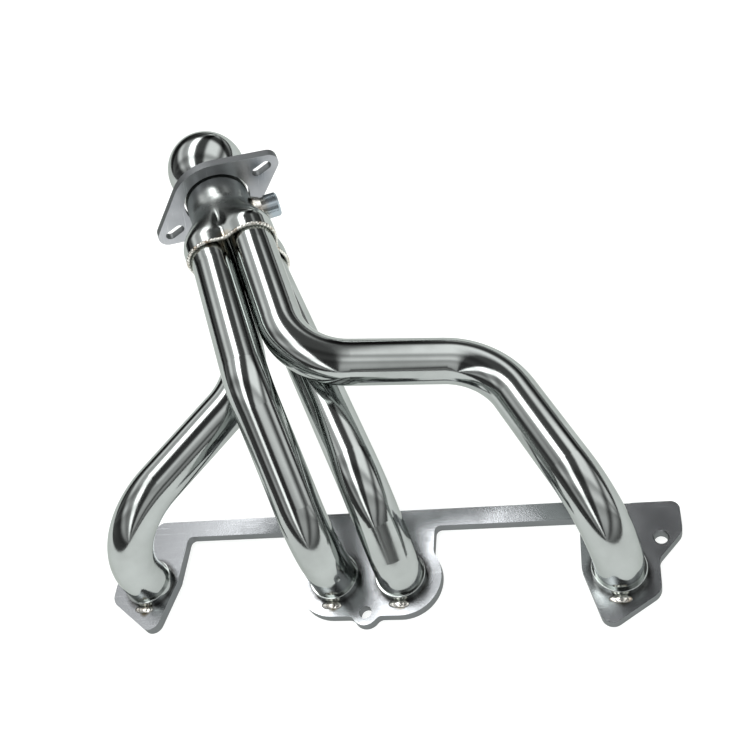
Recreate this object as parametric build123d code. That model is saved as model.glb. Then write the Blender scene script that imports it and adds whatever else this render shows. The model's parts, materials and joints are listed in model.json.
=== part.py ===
"""Four-into-one tubular exhaust manifold for an inline four, with a loose outlet flange.

Millimetres. The origin is on the mating face of the head flange, midway between the two inner ports.
+Z points away from the cylinder head, +X runs along the head flange, +Y points to the outlet side.
"""

import os
from math import cos, radians, sin, sqrt, tan

from build123d import *

# Primary tubes
TUBE_R = 19.05
TUBE_WALL = 1.65
TUBE_BORE_R = TUBE_R - TUBE_WALL
BEND_R = 57.0
PORT_INNER_X = 28.5
PORT_OUTER_X = 201.0

# Head flange
PLATE_T = 9.0
PORT_HOLE_GAP = 0.1
RAIL_TOP_Y = 62.0
RAIL_LOW_Y = 46.0
STUD_R = 5.25
STUD_CHAMFER = 0.85
INNER_STUD_Y = (-29.5, 45.0)
LEFT_EAR = (-224.0, 27.0)
RIGHT_EAR = (234.0, 27.0)
WINDOW_FILLET = 5.0
NECK_FILLET = 9.0
LOBE_FILLET = 7.0
EAR_FILLET = 8.0
MIDDLE_PAD_R = 32.8
MIDDLE_WEB_HALF = 53.2
LOBE_R = 11.0
# Corner circles (x, y, radius) of the end pads and their ears
RIGHT_PAD = [(193.5, -32.5, 9), (218.5, -11, 12.5), (181, 4, 8.5), (181, 50, 8.5), (222, 48, 10)]
RIGHT_EAR_PAD = [(238, 36, 12.5), (224, 19.5, 12.5), (243.2, 51.3, 7.2), (215, 51.3, 7.2)]
LEFT_PAD = [(-193.5, -32.5, 9), (-222.5, -8, 13), (-184.5, 4, 8.5), (-184.5, 50, 8.5)]
LEFT_EAR_PAD = [(-224, 27, 12), (-222.5, -8, 13), (-203, 54, 8), (-190, 20, 8)]

# Collars that seat the tubes on the head flange
RING_R = 21.1
RING_H = 8.0
RING_ROUND = 0.8
RING_GAP = 0.03

# Welds at the head flange
SEAL_LOW_Z = 0.3
SEAL_TOP_Z = 2.0
TACK_LEG = 5.0
TACK_HEIGHT = 3.4
TACK_ARC = 38.0
TACK_TURN = -92.0

# Collector: its axis leaves the mouth along AXIS
MOUTH = Vector(-108.0, 245.6, 149.9)
HEADING = 23.5
RISE = 7.25
TUBE_PITCH = 38.9
SHELL_WALL = 1.9
SOCKET_GAP = 0.8
SOCKET_DEPTH = 10.0
TUBE_INSERT = 8.0
MERGE_STRAIGHT = 14.0
TAPER_END = 62.0
VALLEY_FILL = 0.82
VALLEY_BLEND = 8
TAPER_STEPS = 6
TAPER_LIP = 0.08
SPIGOT_END = 98.0
OUTLET_R = 30.2
BEAD_LEG = 2.6
BEAD_HALF_ARC = 105.0
PLUG_SPAN = (1.0, 7.0)
PLUG_R = 35.3

# Ball end
BALL_R = 38.0
BALL_CENTRE = 132.0
BALL_RIM_R = 27.0
BALL_WALL = 2.0
BALL_WELD_HIGH = 0.5
BALL_WELD_HALF = 1.6

# Loose outlet flange
LOOSE_FACE = 86.0
LOOSE_T = 8.0
LOOSE_HOLE_R = 32.0
LOOSE_BOSS_R = 43.0
LOOSE_TIP_R = 10.7
LOOSE_TIP_X = 60.8
LOOSE_TURN = -16.4
SLOT_X = 53.4
SLOT_LONG = 20.5
SLOT_WIDE = 9.8

# Oxygen sensor bung, M18 x 1.5
BUNG_AT = 58.0
BUNG_TURN = 8.0
BUNG_NECK_R = 10.2
BUNG_R = 11.4
BUNG_BORE_R = 8.25
BUNG_ROOT = 27.0
BUNG_SHOULDER = 41.0
BUNG_TIP = 53.5
BUNG_CHAMFER = 1.6
BUNG_WELD_R = 14.0
BUNG_WELD_SPAN = (30.0, 37.0)


def direction(heading, rise):
    """Unit vector, heading degrees from +Y towards -X and rise degrees above the flange plane."""
    flat = cos(radians(rise))
    return Vector(-sin(radians(heading)) * flat, cos(radians(heading)) * flat, sin(radians(rise)))


AXIS = direction(HEADING, RISE)
ACROSS = Vector(cos(radians(HEADING)), sin(radians(HEADING)), 0)
OUTWARD = ACROSS.cross(AXIS)


def on_axis(distance):
    """Plane square to the collector axis, its local x along ACROSS."""
    return Plane(origin=MOUTH + AXIS * distance, x_dir=ACROSS, z_dir=AXIS)


def bundle_point(side, level, distance):
    """Centre of one tube of the two-by-two bundle, distance along the collector axis."""
    half = TUBE_PITCH / 2
    return MOUTH + ACROSS * (side * half) + OUTWARD * (level * half) + AXIS * distance


# Each tube: port x, corners of its centreline, bend radius at each, and its place in the bundle
TUBES = {
    1: (-PORT_OUTER_X, [(-201, 0, 91), (-91, 133, 114)], [71, BEND_R], (-1, -1)),
    2: (-PORT_INNER_X, [(-28.5, 0, 68), (-68, 97, 154)], [69, BEND_R], (-1, 1)),
    3: (PORT_INNER_X, [(28.5, 0, 25), (15.5, 38, 90)], [56, BEND_R], (1, -1)),
    4: (PORT_OUTER_X, [(201, 0, 80), (114, 145, 100), (-35, 120.6, 150)], [63, BEND_R, BEND_R], (1, 1)),
}


def centreline(corners, radii):
    """Straight runs through the corners, joined by tangent arcs of the given radii."""
    edges = []
    start = corners[0]
    for before, corner, after, radius in zip(corners, corners[1:], corners[2:], radii):
        back = (before - corner).normalized()
        ahead = (after - corner).normalized()
        half_open = back.get_angle(ahead) / 2
        run = radius / tan(radians(half_open))
        bisector = (back + ahead).normalized()
        middle = corner + bisector * (radius / sin(radians(half_open)) - radius)
        edges.append(Line(start, corner + back * run))
        edges.append(ThreePointArc(corner + back * run, middle, corner + ahead * run))
        start = corner + ahead * run
    edges.append(Line(start, corners[-1]))
    return Wire(edges)


def primary_tube(number, radius, bore):
    port_x, bends, radii, (side, level) = TUBES[number]
    corners = [Vector(port_x, 0, SEAL_TOP_Z)]
    corners += [Vector(*bend) for bend in bends]
    corners.append(bundle_point(side, level, -MERGE_STRAIGHT))
    corners.append(bundle_point(side, level, TUBE_INSERT))
    path = centreline(corners, radii + [BEND_R])
    section = Plane(path @ 0, z_dir=path % 0) * Circle(radius)
    if bore:
        section -= Plane(path @ 0, z_dir=path % 0) * Circle(bore)
    return sweep(section, path=path)


def hull_of(circles):
    """Outline stretched round circles given as (x, y, radius)."""
    edges = ShapeList()
    for x, y, radius in circles:
        edges += (Pos(x, y) * Circle(radius)).edges()
    return make_hull(edges)


def flange_outline():
    rail_left = -211.0
    rail_right = 209.0
    rail_mid = (RAIL_TOP_Y + RAIL_LOW_Y) / 2
    rail_high = RAIL_TOP_Y - RAIL_LOW_Y
    rail = Pos((rail_left + rail_right) / 2, rail_mid) * RectangleRounded(
        rail_right - rail_left, rail_high, rail_high / 2 - 0.1)
    # Middle pad: a disc round each inner port, a web up to the rail and a lobe for the lower stud
    middle = hull_of([(-PORT_INNER_X, 0, MIDDLE_PAD_R), (PORT_INNER_X, 0, MIDDLE_PAD_R)])
    web = Pos(0, rail_mid / 2) * Rectangle(2 * MIDDLE_WEB_HALF, rail_mid)
    lobe = Pos(0, INNER_STUD_Y[0]) * Circle(LOBE_R)
    outline = rail + web + middle + lobe
    # End pads: a rounded wedge below each outer port, widened to an ear for the end stud
    for pad in (RIGHT_PAD, RIGHT_EAR_PAD, LEFT_PAD, LEFT_EAR_PAD):
        outline += hull_of(pad)
    corners = [v for v in outline.vertices() if abs(v.Y - RAIL_LOW_Y) < 0.1 and abs(v.X) < 190]
    outline = fillet(corners, WINDOW_FILLET)
    necks = [v for v in outline.vertices() if 48 < abs(v.X) < 58 and 15 < v.Y < 30]
    outline = fillet(necks, NECK_FILLET)
    lobe_roots = [v for v in outline.vertices() if abs(v.X) < 14 and -36 < v.Y < -30]
    outline = fillet(lobe_roots, LOBE_FILLET)
    ear_root = [v for v in outline.vertices() if 229 < v.X < 233 and 0 < v.Y < 16]
    return fillet(ear_root, EAR_FILLET)


def head_flange():
    plate = extrude(flange_outline(), PLATE_T)
    for port_x, *_ in TUBES.values():
        plate -= Pos(port_x, 0, PLATE_T / 2) * Cylinder(TUBE_R + PORT_HOLE_GAP, 2 * PLATE_T)
    for stud_y in INNER_STUD_Y:
        plate -= Pos(0, stud_y, PLATE_T / 2) * Cylinder(STUD_R, 2 * PLATE_T)
    for x, y in (LEFT_EAR, RIGHT_EAR):
        plate -= Pos(x, y, PLATE_T / 2) * Cylinder(STUD_R, 2 * PLATE_T)
        plate -= Pos(x, y, PLATE_T - STUD_CHAMFER / 2) * Cone(STUD_R, STUD_R + STUD_CHAMFER, STUD_CHAMFER)
    return plate


def port_weld(number):
    """Seal weld round the inside of a port, just short of the mating face."""
    port_x = TUBES[number][0]
    height = SEAL_TOP_Z - SEAL_LOW_Z
    ring = Cylinder(TUBE_R + PORT_HOLE_GAP - 0.02, height) - Cylinder(TUBE_BORE_R, 2 * height)
    return Pos(port_x, 0, SEAL_LOW_Z + height / 2) * ring


def port_ring(number):
    """Collar on the plate round the foot of a tube, bored to the tube's own curve."""
    ring = Cylinder(RING_R, RING_H) - Cylinder(TUBE_BORE_R, 2 * RING_H)
    ring = fillet(ring.edges().group_by(Axis.Z)[-1].sort_by(SortBy.RADIUS)[-1:], RING_ROUND)
    ring = Pos(TUBES[number][0], 0, PLATE_T + RING_H / 2) * ring
    return ring - primary_tube(number, TUBE_R + RING_GAP, None)


def flange_tack(number):
    """Short bead between a collar and the plate, in front of the tube."""
    inner = RING_R + RING_GAP
    with BuildSketch(Plane.XZ) as profile:
        with BuildLine():
            Line((inner, PLATE_T), (inner + TACK_LEG, PLATE_T))
            ThreePointArc((inner + TACK_LEG, PLATE_T),
                          (inner + 0.62 * TACK_LEG, PLATE_T + 0.72 * TACK_HEIGHT),
                          (inner, PLATE_T + TACK_HEIGHT))
            Line((inner, PLATE_T + TACK_HEIGHT), (inner, PLATE_T))
        make_face()
    bead = revolve(profile.sketch, Axis.Z, TACK_ARC)
    return Pos(TUBES[number][0], 0, 0) * Rot(0, 0, TACK_TURN - TACK_ARC / 2) * bead


def lobe_radius(angle, half_pitch, radius, fill):
    """Polar radius of four circles at (+-half_pitch, +-half_pitch), the valleys between them filled."""
    off = abs((angle % 90) - 45)
    reach = half_pitch * sqrt(2)
    lobe = reach * cos(radians(off)) + sqrt(radius ** 2 - (reach * sin(radians(off))) ** 2)
    valley = half_pitch + fill * radius
    return (lobe ** VALLEY_BLEND + valley ** VALLEY_BLEND) ** (1 / VALLEY_BLEND)


def lobed_section(distance, taper, inset):
    """Collector outline at a distance along its axis; taper runs from 0 (mouth) to 1 (round)."""
    half_pitch = TUBE_PITCH / 2 * (1 - taper)
    socket_r = TUBE_R + SOCKET_GAP + SHELL_WALL
    radius = socket_r + (OUTLET_R + TAPER_LIP - socket_r) * taper - inset
    step = 7.5
    points = []
    for index in range(round(360 / step)):
        angle = index * step
        reach = lobe_radius(angle, half_pitch, radius, VALLEY_FILL * (1 - taper))
        points.append((reach * cos(radians(angle)), reach * sin(radians(angle))))
    return on_axis(distance) * make_face(Spline(points, periodic=True))


def collector_solid(inset):
    """Solid bounded by the collector's outside, or by its inside when inset is the wall."""
    socket = extrude(lobed_section(0, 0, inset), SOCKET_DEPTH)
    length = TAPER_END - SOCKET_DEPTH
    sections = []
    for index in range(TAPER_STEPS + 1):
        share = index / TAPER_STEPS
        taper = share ** 2 * (3 - 2 * share)
        sections.append(lobed_section(SOCKET_DEPTH + length * share, taper, inset))
    return socket + loft(sections)


def round_bar(radius, low, high):
    return extrude(on_axis(low) * Circle(radius), high - low)


def bung_place():
    """Plane across the bung's axis, on the collector axis, facing along the bung."""
    turn = radians(BUNG_TURN)
    facing = ACROSS * cos(turn) - OUTWARD * sin(turn)
    return Plane(origin=MOUTH + AXIS * BUNG_AT, x_dir=AXIS, z_dir=facing)


def bung_bar(radius, low, high):
    return extrude(bung_place().offset(low) * Circle(radius), high - low)


def collector_envelope(inset):
    return collector_solid(inset) + round_bar(OUTLET_R - inset, TAPER_END - 6 * TAPER_LIP, SPIGOT_END)


def collector_body(outer, inner):
    return outer - inner - bung_bar(BUNG_NECK_R + 0.05, BUNG_ROOT - 8, BUNG_TIP)


def collector_weld(number):
    """Bead round the free side of one tube, against the collector's mouth."""
    side, level = TUBES[number][3]
    place = Plane(origin=bundle_point(side, level, 0), x_dir=ACROSS * side + OUTWARD * level, z_dir=AXIS)
    low = TUBE_R + 0.03
    with BuildSketch(Plane.XZ) as profile:
        with BuildLine():
            Line((low, -0.02), (low + BEAD_LEG, -0.02))
            ThreePointArc((low + BEAD_LEG, -0.02), (low + 0.75 * BEAD_LEG, -0.75 * BEAD_LEG), (low, -BEAD_LEG))
            Line((low, -BEAD_LEG), (low, -0.02))
        make_face()
    bead = revolve(profile.sketch, Axis.Z, 2 * BEAD_HALF_ARC)
    return place * Rot(0, 0, -BEAD_HALF_ARC) * bead


def bundle_plug():
    """Star-shaped plug that closes the space in the middle of the four tubes."""
    half = TUBE_PITCH / 2
    star = Circle(PLUG_R)
    for x in (-half, half):
        for y in (-half, half):
            star -= Pos(x, y) * Circle(TUBE_R + 0.05)
    return extrude(on_axis(PLUG_SPAN[0]) * star, PLUG_SPAN[1] - PLUG_SPAN[0])


def outlet_ball():
    """Round neck spun out into a ball seat, open at the far end."""
    neck_in = OUTLET_R - BALL_WALL
    ball_in = BALL_R - BALL_WALL
    root = BALL_CENTRE - sqrt(BALL_R ** 2 - OUTLET_R ** 2)
    root_in = BALL_CENTRE - sqrt(ball_in ** 2 - neck_in ** 2)
    rim = BALL_CENTRE + sqrt(BALL_R ** 2 - BALL_RIM_R ** 2)
    rim_in_r = BALL_RIM_R - BALL_WALL
    rim_in = BALL_CENTRE + sqrt(ball_in ** 2 - rim_in_r ** 2)
    with BuildSketch(Plane.XZ) as profile:
        with BuildLine():
            Line((neck_in, SPIGOT_END), (OUTLET_R, SPIGOT_END))
            Line((OUTLET_R, SPIGOT_END), (OUTLET_R, root))
            ThreePointArc((OUTLET_R, root), (BALL_R, BALL_CENTRE), (BALL_RIM_R, rim))
            Line((BALL_RIM_R, rim), (rim_in_r, rim_in))
            ThreePointArc((rim_in_r, rim_in), (ball_in, BALL_CENTRE), (neck_in, root_in))
            Line((neck_in, root_in), (neck_in, SPIGOT_END))
        make_face()
    return on_axis(0) * revolve(profile.sketch, Axis.Z)


def ball_weld():
    outer = round_bar(OUTLET_R + BALL_WELD_HIGH, SPIGOT_END - BALL_WELD_HALF, SPIGOT_END + BALL_WELD_HALF)
    inner = round_bar(OUTLET_R, SPIGOT_END - 2 * BALL_WELD_HALF, SPIGOT_END + 2 * BALL_WELD_HALF)
    return outer - inner


def outlet_flange():
    outline = hull_of([(0, 0, LOOSE_BOSS_R), (-LOOSE_TIP_X, 0, LOOSE_TIP_R), (LOOSE_TIP_X, 0, LOOSE_TIP_R)])
    outline -= Circle(LOOSE_HOLE_R)
    for x in (-SLOT_X, SLOT_X):
        outline -= Pos(x, 0) * SlotOverall(SLOT_LONG, SLOT_WIDE)
    return extrude(on_axis(LOOSE_FACE) * Rot(0, 0, LOOSE_TURN) * outline, LOOSE_T)


def sensor_bung():
    """Threaded boss, turned with a narrower neck that sits in the collector wall."""
    profile = Polyline(
        (BUNG_BORE_R, BUNG_ROOT), (BUNG_NECK_R, BUNG_ROOT), (BUNG_NECK_R, BUNG_SHOULDER),
        (BUNG_R, BUNG_SHOULDER), (BUNG_R, BUNG_TIP - BUNG_CHAMFER), (BUNG_R - BUNG_CHAMFER, BUNG_TIP),
        (BUNG_BORE_R, BUNG_TIP), close=True)
    return bung_place() * revolve(Plane.XZ * make_face(profile), Axis.Z)


def sensor_bung_weld(outer):
    low, high = BUNG_WELD_SPAN
    place = bung_place().offset((low + high) / 2)
    ring = place * Cone(BUNG_WELD_R, BUNG_NECK_R + 1.0, high - low)
    return ring - bung_bar(BUNG_NECK_R + 0.02, low - 1, high + 1) - outer


def main():
    outer = collector_envelope(0)
    inner = collector_envelope(SHELL_WALL)
    parts = {"head_flange": head_flange()}
    for number in TUBES:
        parts[f"primary_tube_{number}"] = primary_tube(number, TUBE_R, TUBE_BORE_R)
        parts[f"port_weld_{number}"] = port_weld(number)
        parts[f"port_ring_{number}"] = port_ring(number)
        parts[f"flange_tack_{number}"] = flange_tack(number)
        parts[f"collector_weld_{number}"] = collector_weld(number)
    parts["collector_body"] = collector_body(outer, inner)
    parts["bundle_plug"] = bundle_plug()
    parts["outlet_ball"] = outlet_ball()
    parts["ball_weld"] = ball_weld()
    parts["outlet_flange"] = outlet_flange()
    parts["sensor_bung"] = sensor_bung()
    parts["sensor_bung_weld"] = sensor_bung_weld(outer)
    os.makedirs("parts", exist_ok=True)
    for name, shape in parts.items():
        export_step(shape, f"parts/{name}.step")


main()
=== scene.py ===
import json
import math

import bmesh
import bpy
from mathutils import Matrix, Vector


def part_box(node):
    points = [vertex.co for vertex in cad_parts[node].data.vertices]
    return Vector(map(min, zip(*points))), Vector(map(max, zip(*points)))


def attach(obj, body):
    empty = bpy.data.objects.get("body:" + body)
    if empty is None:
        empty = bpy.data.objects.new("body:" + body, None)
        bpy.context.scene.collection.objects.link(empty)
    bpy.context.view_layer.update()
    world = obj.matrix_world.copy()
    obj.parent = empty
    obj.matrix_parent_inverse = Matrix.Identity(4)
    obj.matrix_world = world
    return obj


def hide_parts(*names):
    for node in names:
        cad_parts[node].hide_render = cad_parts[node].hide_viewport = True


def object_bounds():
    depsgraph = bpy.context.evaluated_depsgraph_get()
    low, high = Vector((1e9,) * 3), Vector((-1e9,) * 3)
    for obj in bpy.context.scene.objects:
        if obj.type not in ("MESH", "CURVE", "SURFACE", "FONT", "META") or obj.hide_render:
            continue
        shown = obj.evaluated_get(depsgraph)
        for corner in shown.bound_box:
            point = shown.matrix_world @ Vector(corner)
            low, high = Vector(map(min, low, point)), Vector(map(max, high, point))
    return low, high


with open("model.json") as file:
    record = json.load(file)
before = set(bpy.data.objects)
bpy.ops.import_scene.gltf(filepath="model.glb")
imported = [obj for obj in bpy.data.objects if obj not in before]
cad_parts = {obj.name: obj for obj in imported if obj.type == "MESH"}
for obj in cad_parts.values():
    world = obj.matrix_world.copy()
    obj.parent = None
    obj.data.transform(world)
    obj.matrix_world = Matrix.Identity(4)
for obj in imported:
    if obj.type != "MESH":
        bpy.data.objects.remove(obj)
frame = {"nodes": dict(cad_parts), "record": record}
cad_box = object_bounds()
nodes = frame["nodes"]

# Shape constants shared with the CAD, in metres
MOUTH = Vector((-0.108, 0.2456, 0.1499))
HEADING = math.radians(23.5)
RISE = math.radians(7.25)
TUBE_R = 0.01905
TUBE_PITCH = 0.0389
PORTS = {1: -0.201, 2: -0.0285, 3: 0.0285, 4: 0.201}
BUNDLE = {1: (-1, -1), 2: (-1, 1), 3: (1, -1), 4: (1, 1)}
AXIS = Vector((-math.sin(HEADING) * math.cos(RISE), math.cos(HEADING) * math.cos(RISE), math.sin(RISE)))
ACROSS = Vector((math.cos(HEADING), math.sin(HEADING), 0))
OUTWARD = ACROSS.cross(AXIS)
BUNG_TURN = math.radians(8)
BUNG_FACING = ACROSS * math.cos(BUNG_TURN) - OUTWARD * math.sin(BUNG_TURN)
BUNG_AT = 0.058
BUNG_ROOT = MOUTH + AXIS * BUNG_AT + BUNG_FACING * 0.030
PLATE_T = 0.009

# Welds, in metres: the bead round the collector's mouth, and the tack in front of each port
BEAD_R = 0.0019
BEAD_STANDOFF = 0.0010
BEAD_DROP = 0.0006
BEAD_RIPPLES = 22
VALLEY_RISE = 0.0166
VALLEY_BLEND = 8
TACK_FROM_PORT = 0.0234
TACK_TURN = math.radians(-92)
TACK_STEP = math.radians(6)
TACK_LIFT = 0.0004
TACK_HALF_LENGTH = 0.0062
TACK_HALF_WIDTH = 0.0031
TACK_HEIGHT = 0.0022
TACK_END_FALL = 0.0006

# Where heat has marked the metal, where painted shade darkens the plate round the ports and tacks, and
# how far each mark reaches
VALLEY_MARK = MOUTH + OUTWARD * 0.036 - AXIS * 0.002
VALLEY_MARK_REACH = 0.013
BUNG_MARK_REACH = 0.017
BUNG_TINT_REACH = 0.022
BRUSHED_ZONE = MOUTH + AXIS * 0.050
BRUSHED_REACH = 0.066
PORT_SHADE_REACH = 0.029
# Painted shade round each tack at the front of a port
TACK_SHADE_Y = -0.0235
TACK_SHADE_REACH = 0.0095

# Colours
STEEL_LIGHT = (0.43, 0.455, 0.445)
STEEL_SMUDGED = (0.35, 0.37, 0.36)
STRAW = (0.42, 0.30, 0.16)
PLATE_LIGHT = (0.40, 0.415, 0.43)
PLATE_SMUDGED = (0.25, 0.26, 0.27)
FLANGE_LIGHT = (0.44, 0.45, 0.47)
FLANGE_SMUDGED = (0.34, 0.35, 0.37)
CUT_EDGE = (0.20, 0.21, 0.215)
SCRATCH = (0.66, 0.67, 0.68)
# Painted shade: a dark ring on the plate round the base of each port, where the tube shadows it
PORT_SHADE = (0.045, 0.042, 0.04)
# Painted shade: a dark patch on the plate round each tack, where the tack meets the port
TACK_SHADE = (0.10, 0.085, 0.06)
BEAD_SILVER = (0.80, 0.79, 0.74)
BEAD_BURNT = (0.26, 0.19, 0.12)
BUNG_ZINC = (0.40, 0.46, 0.50)
BUNG_STRAW = (0.60, 0.44, 0.22)
GRAZING_TINT = (0.62, 0.64, 0.62, 1.0)

# Studio: brightness against degrees from straight up, across the object and along it
ACROSS_BANDS = [
    (-90, 0.05), (-64, 0.02), (-52, 0.26), (-40, 0.13), (-29, 0.15), (-23, 1.0), (-13, 1.1),
    (-8, 0.02), (13, 0.02), (23, 0.30), (44, 0.30), (60, 0.04), (72, 0.22), (90, 0.05)]
ALONG_BANDS = [
    (-90, 0.3), (-58, 0.5), (-42, 0.4), (-28, 0.8), (-8, 0.45), (10, 1.0), (46, 1.0), (62, 0.05),
    (74, 0.05), (84, 0.5), (90, 0.3)]
STUDIO_STRENGTH = 5.2
HORIZON = 0.02

CAMERA_AT = (0.21877, -0.31720, 0.66750)
CAMERA_RIGHT = Vector((0.95947, 0.09453, -0.26548))
CAMERA_UP = Vector((0.08983, 0.79034, 0.60605))
LENS_MM = 43.2
SENSOR_MM = 36.0


# ---------- node groups ----------

def new_group(name, inputs, outputs):
    group = bpy.data.node_groups.new(name, "ShaderNodeTree")
    for label, kind, value in inputs:
        item = group.interface.new_socket(label, in_out="INPUT", socket_type=kind)
        item.default_value = value
    for label, kind in outputs:
        group.interface.new_socket(label, in_out="OUTPUT", socket_type=kind)
    return group, group.nodes.new("NodeGroupInput"), group.nodes.new("NodeGroupOutput")


def math_node(tree, operation, first, second=None, clamp=False):
    node = tree.nodes.new("ShaderNodeMath")
    node.operation = operation
    node.use_clamp = clamp
    for index, value in enumerate((first, second)):
        if value is None:
            continue
        if isinstance(value, (int, float)):
            node.inputs[index].default_value = value
        else:
            tree.links.new(value, node.inputs[index])
    return node.outputs[0]


def noise_node(tree, scale, detail, vector=None, roughness=0.55):
    node = tree.nodes.new("ShaderNodeTexNoise")
    node.inputs["Detail"].default_value = detail
    node.inputs["Roughness"].default_value = roughness
    if isinstance(scale, (int, float)):
        node.inputs["Scale"].default_value = scale
    else:
        tree.links.new(scale, node.inputs["Scale"])
    if vector is None:
        vector = tree.nodes.new("ShaderNodeTexCoord").outputs["Object"]
    tree.links.new(vector, node.inputs["Vector"])
    return node.outputs["Fac"]


def remap(tree, value, low, high, out_low, out_high):
    node = tree.nodes.new("ShaderNodeMapRange")
    for index, number in enumerate((low, high, out_low, out_high), start=1):
        node.inputs[index].default_value = number
    tree.links.new(value, node.inputs[0])
    return node.outputs[0]


def surface_wear_group():
    """Cloudy smudges, fine grain and thin scratches."""
    group, ends, out = new_group(
        "SurfaceWear",
        [("Smudge Scale", "NodeSocketFloat", 30.0), ("Grain Scale", "NodeSocketFloat", 900.0)],
        [("Smudge", "NodeSocketFloat"), ("Grain", "NodeSocketFloat"), ("Scratch", "NodeSocketFloat")])
    smudge = noise_node(group, ends.outputs["Smudge Scale"], 4.0)
    group.links.new(remap(group, smudge, 0.34, 0.72, 0.0, 1.0), out.inputs["Smudge"])
    grain = noise_node(group, ends.outputs["Grain Scale"], 2.0)
    group.links.new(grain, out.inputs["Grain"])
    coords = group.nodes.new("ShaderNodeTexCoord").outputs["Object"]
    turn = group.nodes.new("ShaderNodeMapping")
    turn.inputs["Rotation"].default_value = (0.0, 0.0, 0.9)
    turn.inputs["Scale"].default_value = (30.0, 2600.0, 30.0)
    group.links.new(coords, turn.inputs["Vector"])
    lines = noise_node(group, 1.0, 1.0, turn.outputs["Vector"])
    group.links.new(remap(group, lines, 0.66, 0.84, 0.0, 1.0), out.inputs["Scratch"])
    return group


def spot_falloff_group():
    """Mask that is one at a point and fades with distance."""
    group, ends, out = new_group(
        "SpotFalloff",
        [("Centre", "NodeSocketVector", (0, 0, 0)), ("Reach", "NodeSocketFloat", 0.01)],
        [("Mask", "NodeSocketFloat")])
    coords = group.nodes.new("ShaderNodeTexCoord").outputs["Object"]
    gap = group.nodes.new("ShaderNodeVectorMath")
    gap.operation = "DISTANCE"
    group.links.new(coords, gap.inputs[0])
    group.links.new(ends.outputs["Centre"], gap.inputs[1])
    wander = math_node(group, "MULTIPLY", noise_node(group, 160.0, 3.0), 0.006)
    ragged = math_node(group, "ADD", gap.outputs["Value"], wander)
    ratio = math_node(group, "DIVIDE", ragged, ends.outputs["Reach"])
    group.links.new(math_node(group, "SUBTRACT", 1.0, ratio, clamp=True), out.inputs["Mask"])
    return group


WEAR = surface_wear_group()
SPOT_FALLOFF = spot_falloff_group()


def place_group(tree, group, **values):
    node = tree.nodes.new("ShaderNodeGroup")
    node.node_tree = group
    for label, value in values.items():
        node.inputs[label.replace("_", " ")].default_value = value
    return node


def blend_colour(tree, factor, first, second):
    node = tree.nodes.new("ShaderNodeMix")
    node.data_type = "RGBA"
    tree.links.new(factor, node.inputs["Factor"])
    for label, value in (("A", first), ("B", second)):
        socket = next(s for s in node.inputs if s.name == label and s.type == "RGBA")
        if isinstance(value, tuple):
            socket.default_value = (*value, 1.0)
        else:
            tree.links.new(value, socket)
    return next(s for s in node.outputs if s.type == "RGBA")


def metal(name, roughness):
    material = bpy.data.materials.new(name)
    material.use_nodes = True
    shader = material.node_tree.nodes["Principled BSDF"]
    shader.inputs["Metallic"].default_value = 1.0
    shader.inputs["Roughness"].default_value = roughness
    shader.inputs["Specular Tint"].default_value = GRAZING_TINT
    return material, material.node_tree, shader


def bump(tree, shader, height, strength, distance):
    node = tree.nodes.new("ShaderNodeBump")
    node.inputs["Strength"].default_value = strength
    node.inputs["Distance"].default_value = distance
    tree.links.new(height, node.inputs["Height"])
    tree.links.new(node.outputs["Normal"], shader.inputs["Normal"])


def polished_steel():
    material, tree, shader = metal("polished_steel", 0.07)
    wear = place_group(tree, WEAR, Smudge_Scale=22.0, Grain_Scale=1100.0)
    colour = blend_colour(tree, wear.outputs["Smudge"], STEEL_LIGHT, STEEL_SMUDGED)
    for centre, reach in ((VALLEY_MARK, VALLEY_MARK_REACH), (BUNG_ROOT, BUNG_MARK_REACH)):
        mark = place_group(tree, SPOT_FALLOFF, Centre=centre, Reach=reach)
        colour = blend_colour(tree, mark.outputs["Mask"], colour, STRAW)
    tree.links.new(colour, shader.inputs["Base Color"])
    rough = math_node(tree, "MULTIPLY_ADD", wear.outputs["Smudge"], 0.06)
    rough.node.inputs[2].default_value = 0.085
    # The collector is brushed, not polished
    brushed = place_group(tree, SPOT_FALLOFF, Centre=BRUSHED_ZONE, Reach=BRUSHED_REACH)
    satin = math_node(tree, "MULTIPLY_ADD", brushed.outputs["Mask"], 0.30)
    tree.links.new(rough, satin.node.inputs[2])
    tree.links.new(satin, shader.inputs["Roughness"])
    bump(tree, shader, wear.outputs["Grain"], 0.06, 0.0002)
    return material


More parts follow.
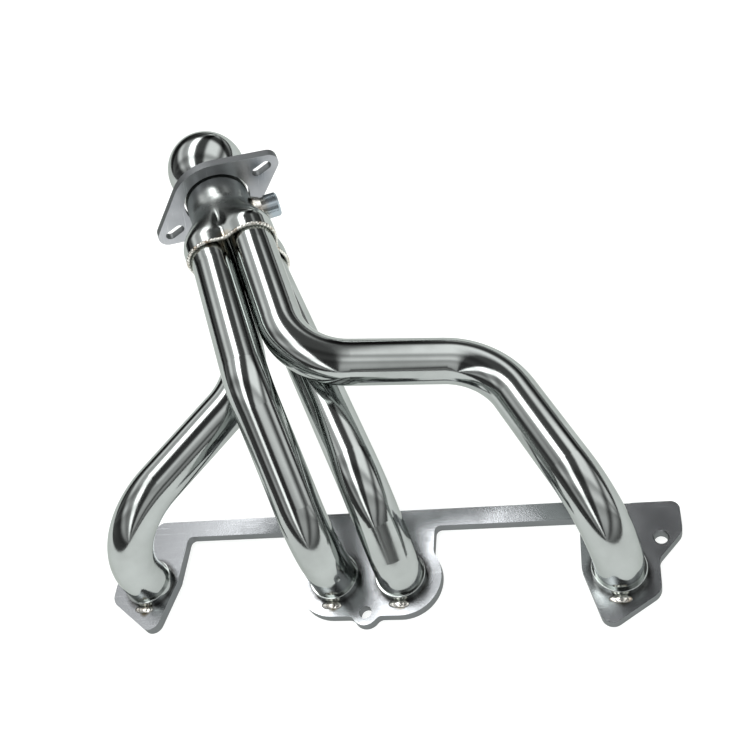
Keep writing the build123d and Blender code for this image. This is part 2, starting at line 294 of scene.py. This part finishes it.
def satin_steel(name, light, dark, roughness, face_normal, shaded_ports):
    material, tree, shader = metal(name, roughness)
    wear = place_group(tree, WEAR, Smudge_Scale=26.0, Grain_Scale=700.0)
    colour = blend_colour(tree, wear.outputs["Smudge"], light, dark)
    colour = blend_colour(tree, wear.outputs["Scratch"], colour, SCRATCH)
    # Painted shade on the plate: a dark ring round each port's base and a dark patch round its tack
    for port_x in shaded_ports:
        mark = place_group(tree, SPOT_FALLOFF, Centre=(port_x, 0, PLATE_T), Reach=PORT_SHADE_REACH)
        port_shade_mask = math_node(tree, "MULTIPLY", mark.outputs["Mask"], 5.0, clamp=True)
        colour = blend_colour(tree, port_shade_mask, colour, PORT_SHADE)
        # Painted shade round the tack at the front of the port
        tack_spot = (port_x, TACK_SHADE_Y, PLATE_T)
        burn_and_shade = place_group(tree, SPOT_FALLOFF, Centre=tack_spot, Reach=TACK_SHADE_REACH)
        tack_shade_mask = math_node(tree, "MULTIPLY", burn_and_shade.outputs["Mask"], 3.0, clamp=True)
        colour = blend_colour(tree, tack_shade_mask, colour, TACK_SHADE)
    # The cut edge is darker and duller than the faces
    facing = tree.nodes.new("ShaderNodeVectorMath")
    facing.operation = "DOT_PRODUCT"
    facing.inputs[1].default_value = face_normal
    tree.links.new(tree.nodes.new("ShaderNodeNewGeometry").outputs["True Normal"], facing.inputs[0])
    edge = remap(tree, math_node(tree, "ABSOLUTE", facing.outputs["Value"]), 0.85, 0.6, 0.0, 1.0)
    colour = blend_colour(tree, edge, colour, CUT_EDGE)
    tree.links.new(colour, shader.inputs["Base Color"])
    rough = math_node(tree, "MULTIPLY_ADD", wear.outputs["Smudge"], 0.12)
    rough.node.inputs[2].default_value = roughness
    worn = math_node(tree, "MULTIPLY_ADD", edge, 0.2)
    tree.links.new(rough, worn.node.inputs[2])
    tree.links.new(worn, shader.inputs["Roughness"])
    bump(tree, shader, wear.outputs["Grain"], 0.12, 0.0003)
    return material


def weld_metal():
    material, tree, shader = metal("weld_bead", 0.22)
    burn_and_shade = remap(tree, noise_node(tree, 110.0, 3.0), 0.50, 0.72, 0.0, 1.0)
    colour = blend_colour(tree, burn_and_shade, BEAD_SILVER, BEAD_BURNT)
    tree.links.new(colour, shader.inputs["Base Color"])
    bump(tree, shader, noise_node(tree, 420.0, 2.0), 0.3, 0.0006)
    return material


def bung_metal():
    material, tree, shader = metal("bung_steel", 0.2)
    mark = place_group(tree, SPOT_FALLOFF, Centre=BUNG_ROOT, Reach=BUNG_TINT_REACH)
    colour = blend_colour(tree, mark.outputs["Mask"], BUNG_ZINC, BUNG_STRAW)
    tree.links.new(colour, shader.inputs["Base Color"])
    wear = place_group(tree, WEAR, Smudge_Scale=60.0, Grain_Scale=900.0)
    bump(tree, shader, wear.outputs["Grain"], 0.15, 0.0003)
    return material


MATERIALS = {
    "polished_steel": polished_steel(),
    "plate_steel": satin_steel(
        "plate_steel", PLATE_LIGHT, PLATE_SMUDGED, 0.17, face_normal=(0, 0, 1),
        shaded_ports=PORTS.values()),
    "flange_steel": satin_steel(
        "flange_steel", FLANGE_LIGHT, FLANGE_SMUDGED, 0.27, face_normal=AXIS, shaded_ports=()),
    "bung_steel": bung_metal(),
    "weld_bead": weld_metal(),
}

for part in frame["record"]["subparts"]:
    node = nodes[part["node"]]
    node.data.materials.clear()
    node.data.materials.append(MATERIALS[part["material_slot"]])


# ---------- welds ----------

def weld_piece(name, mesh_builder, replaced):
    """Object for one weld on the manifold, standing in for its CAD node."""
    mesh = bpy.data.meshes.new(name)
    mesh_builder.to_mesh(mesh)
    mesh_builder.free()
    mesh.shade_smooth()
    obj = bpy.data.objects.new(name, mesh)
    bpy.context.scene.collection.objects.link(obj)
    mesh.materials.append(MATERIALS["weld_bead"])
    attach(obj, "manifold")
    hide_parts(replaced)


def mouth_reach(off):
    """Distance of the bead from the collector's axis, at an angle from a tube's diagonal."""
    half = TUBE_PITCH / 2
    reach = half * math.sqrt(2)
    round_tube = TUBE_R + BEAD_STANDOFF
    lobe = reach * math.cos(off) + math.sqrt(round_tube ** 2 - (reach * math.sin(off)) ** 2)
    valley = half + VALLEY_RISE
    return (lobe ** VALLEY_BLEND + valley ** VALLEY_BLEND) ** (1 / VALLEY_BLEND)


def mouth_place(number):
    """Frame on the collector's axis at the mouth, its x axis towards one tube."""
    side, level = BUNDLE[number]
    x_dir = (ACROSS * side + OUTWARD * level).normalized()
    y_dir = AXIS.cross(x_dir)
    place = Matrix((x_dir, y_dir, AXIS)).transposed().to_4x4()
    place.translation = MOUTH - AXIS * BEAD_DROP
    return place


def mouth_bead(number):
    """Rippled bead along a quarter of the mouth: a closed tube of short overlapping puddles."""
    builder = bmesh.new()
    place = mouth_place(number)
    along = BEAD_RIPPLES * 8
    around = 14
    rings = []
    for i in range(along + 1):
        share = i / along
        angle = math.pi / 2 * (share - 0.5)
        puddle = BEAD_R * (0.82 + 0.22 * abs(math.sin(math.pi * BEAD_RIPPLES * share)))
        ring = []
        for j in range(around):
            turn = 2 * math.pi * j / around
            reach = mouth_reach(angle) + puddle * math.cos(turn)
            point = Vector((reach * math.cos(angle), reach * math.sin(angle), puddle * math.sin(turn)))
            ring.append(builder.verts.new(place @ point))
        rings.append(ring)
    for ring, after in zip(rings, rings[1:]):
        for j in range(around):
            k = (j + 1) % around
            builder.faces.new((ring[j], after[j], after[k], ring[k]))
    builder.faces.new(rings[0])
    builder.faces.new(list(reversed(rings[-1])))
    return builder


def tack_bead(port_x):
    """Flattened blob of three overlapping puddles at the front of a port's collar."""
    builder = bmesh.new()
    plate_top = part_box("head_flange")[1][2]
    for step in (-1, 0, 1):
        angle = TACK_TURN + step * TACK_STEP
        spot = Vector((port_x + TACK_FROM_PORT * math.cos(angle), TACK_FROM_PORT * math.sin(angle),
                       plate_top + TACK_LIFT))
        height = TACK_HEIGHT - TACK_END_FALL * abs(step)
        squash = Matrix.Diagonal((TACK_HALF_LENGTH, TACK_HALF_WIDTH, height, 1.0))
        bmesh.ops.create_uvsphere(
            builder, u_segments=28, v_segments=16, radius=1.0, matrix=Matrix.Translation(spot) @ squash)
    return builder


for number in BUNDLE:
    weld_piece(f"mouth_bead_{number}", mouth_bead(number), f"collector_weld_{number}")

for number, port_x in PORTS.items():
    weld_piece(f"tack_bead_{number}", tack_bead(port_x), f"flange_tack_{number}")


# ---------- studio ----------

def floor():
    builder = bmesh.new()
    bmesh.ops.create_grid(builder, x_segments=1, y_segments=1, size=6.0)
    mesh = bpy.data.meshes.new("floor")
    builder.to_mesh(mesh)
    builder.free()
    obj = bpy.data.objects.new("floor", mesh)
    obj.location = (0, 0, cad_box[0][2] - 0.0005)
    bpy.context.scene.collection.objects.link(obj)
    material = bpy.data.materials.new("floor")
    material.use_nodes = True
    shader = material.node_tree.nodes["Principled BSDF"]
    shader.inputs["Base Color"].default_value = (0.35, 0.355, 0.35, 1)
    shader.inputs["Roughness"].default_value = 0.9
    shader.inputs["Specular IOR Level"].default_value = 0.0
    shader.inputs["Emission Color"].default_value = (0.985, 1.0, 0.99, 1)
    shader.inputs["Emission Strength"].default_value = 0.86
    mesh.materials.append(material)


def band_ramp(tree, value, stops):
    ramp = tree.nodes.new("ShaderNodeValToRGB")
    ramp.color_ramp.interpolation = "EASE"
    elements = ramp.color_ramp.elements
    while len(elements) < len(stops):
        elements.new(0.5)
    for element, (degrees, grey) in zip(elements, stops):
        element.position = (degrees + 90) / 180
        element.color = (grey, grey, grey, 1)
    tree.links.new(value, ramp.inputs["Fac"])
    return ramp.outputs["Color"]


def studio():
    """Room with long dark gaps between its soft boxes, so that polished tubes show streaks."""
    world = bpy.data.worlds.new("studio")
    world.use_nodes = True
    tree = world.node_tree
    background = tree.nodes["Background"]
    split = tree.nodes.new("ShaderNodeSeparateXYZ")
    tree.links.new(tree.nodes.new("ShaderNodeTexCoord").outputs["Generated"], split.inputs[0])
    height = math_node(tree, "MAXIMUM", split.outputs["Z"], HORIZON)
    greys = []
    for label, stops in (("X", ACROSS_BANDS), ("Y", ALONG_BANDS)):
        angle = math_node(tree, "ARCTAN2", split.outputs[label], height)
        share = math_node(tree, "MULTIPLY_ADD", angle, 1 / math.pi)
        share.node.inputs[2].default_value = 0.5
        greys.append(band_ramp(tree, share, stops))
    mix = tree.nodes.new("ShaderNodeMix")
    mix.data_type = "RGBA"
    mix.blend_type = "MULTIPLY"
    mix.inputs["Factor"].default_value = 1.0
    sockets = [s for s in mix.inputs if s.type == "RGBA"]
    tree.links.new(greys[0], sockets[0])
    tree.links.new(greys[1], sockets[1])
    tree.links.new(next(s for s in mix.outputs if s.type == "RGBA"), background.inputs["Color"])
    background.inputs["Strength"].default_value = STUDIO_STRENGTH
    bpy.context.scene.world = world


def key_light():
    """Weak overhead soft box that isn't mirrored in the metal."""
    light = bpy.data.lights.new("key", "AREA")
    light.shape = "RECTANGLE"
    light.size = light.size_y = 1.2
    light.energy = 10
    obj = bpy.data.objects.new("key", light)
    position = Vector((-0.5, 0.6, 2.0))
    target = Vector((0, 0.15, 0.05))
    obj.location = position
    obj.rotation_euler = (position - target).to_track_quat("Z", "Y").to_euler()
    obj.visible_glossy = False
    bpy.context.scene.collection.objects.link(obj)


def camera():
    data = bpy.data.cameras.new("camera")
    data.lens = LENS_MM
    data.sensor_width = SENSOR_MM
    data.dof.use_dof = False
    obj = bpy.data.objects.new("camera", data)
    back = CAMERA_RIGHT.cross(CAMERA_UP).normalized()
    place = Matrix((CAMERA_RIGHT, CAMERA_UP, back)).transposed().to_4x4()
    place.translation = CAMERA_AT
    obj.matrix_world = place
    bpy.context.scene.collection.objects.link(obj)
    bpy.context.scene.camera = obj


floor()
studio()
key_light()
camera()
bpy.context.scene.view_settings.view_transform = "Standard"
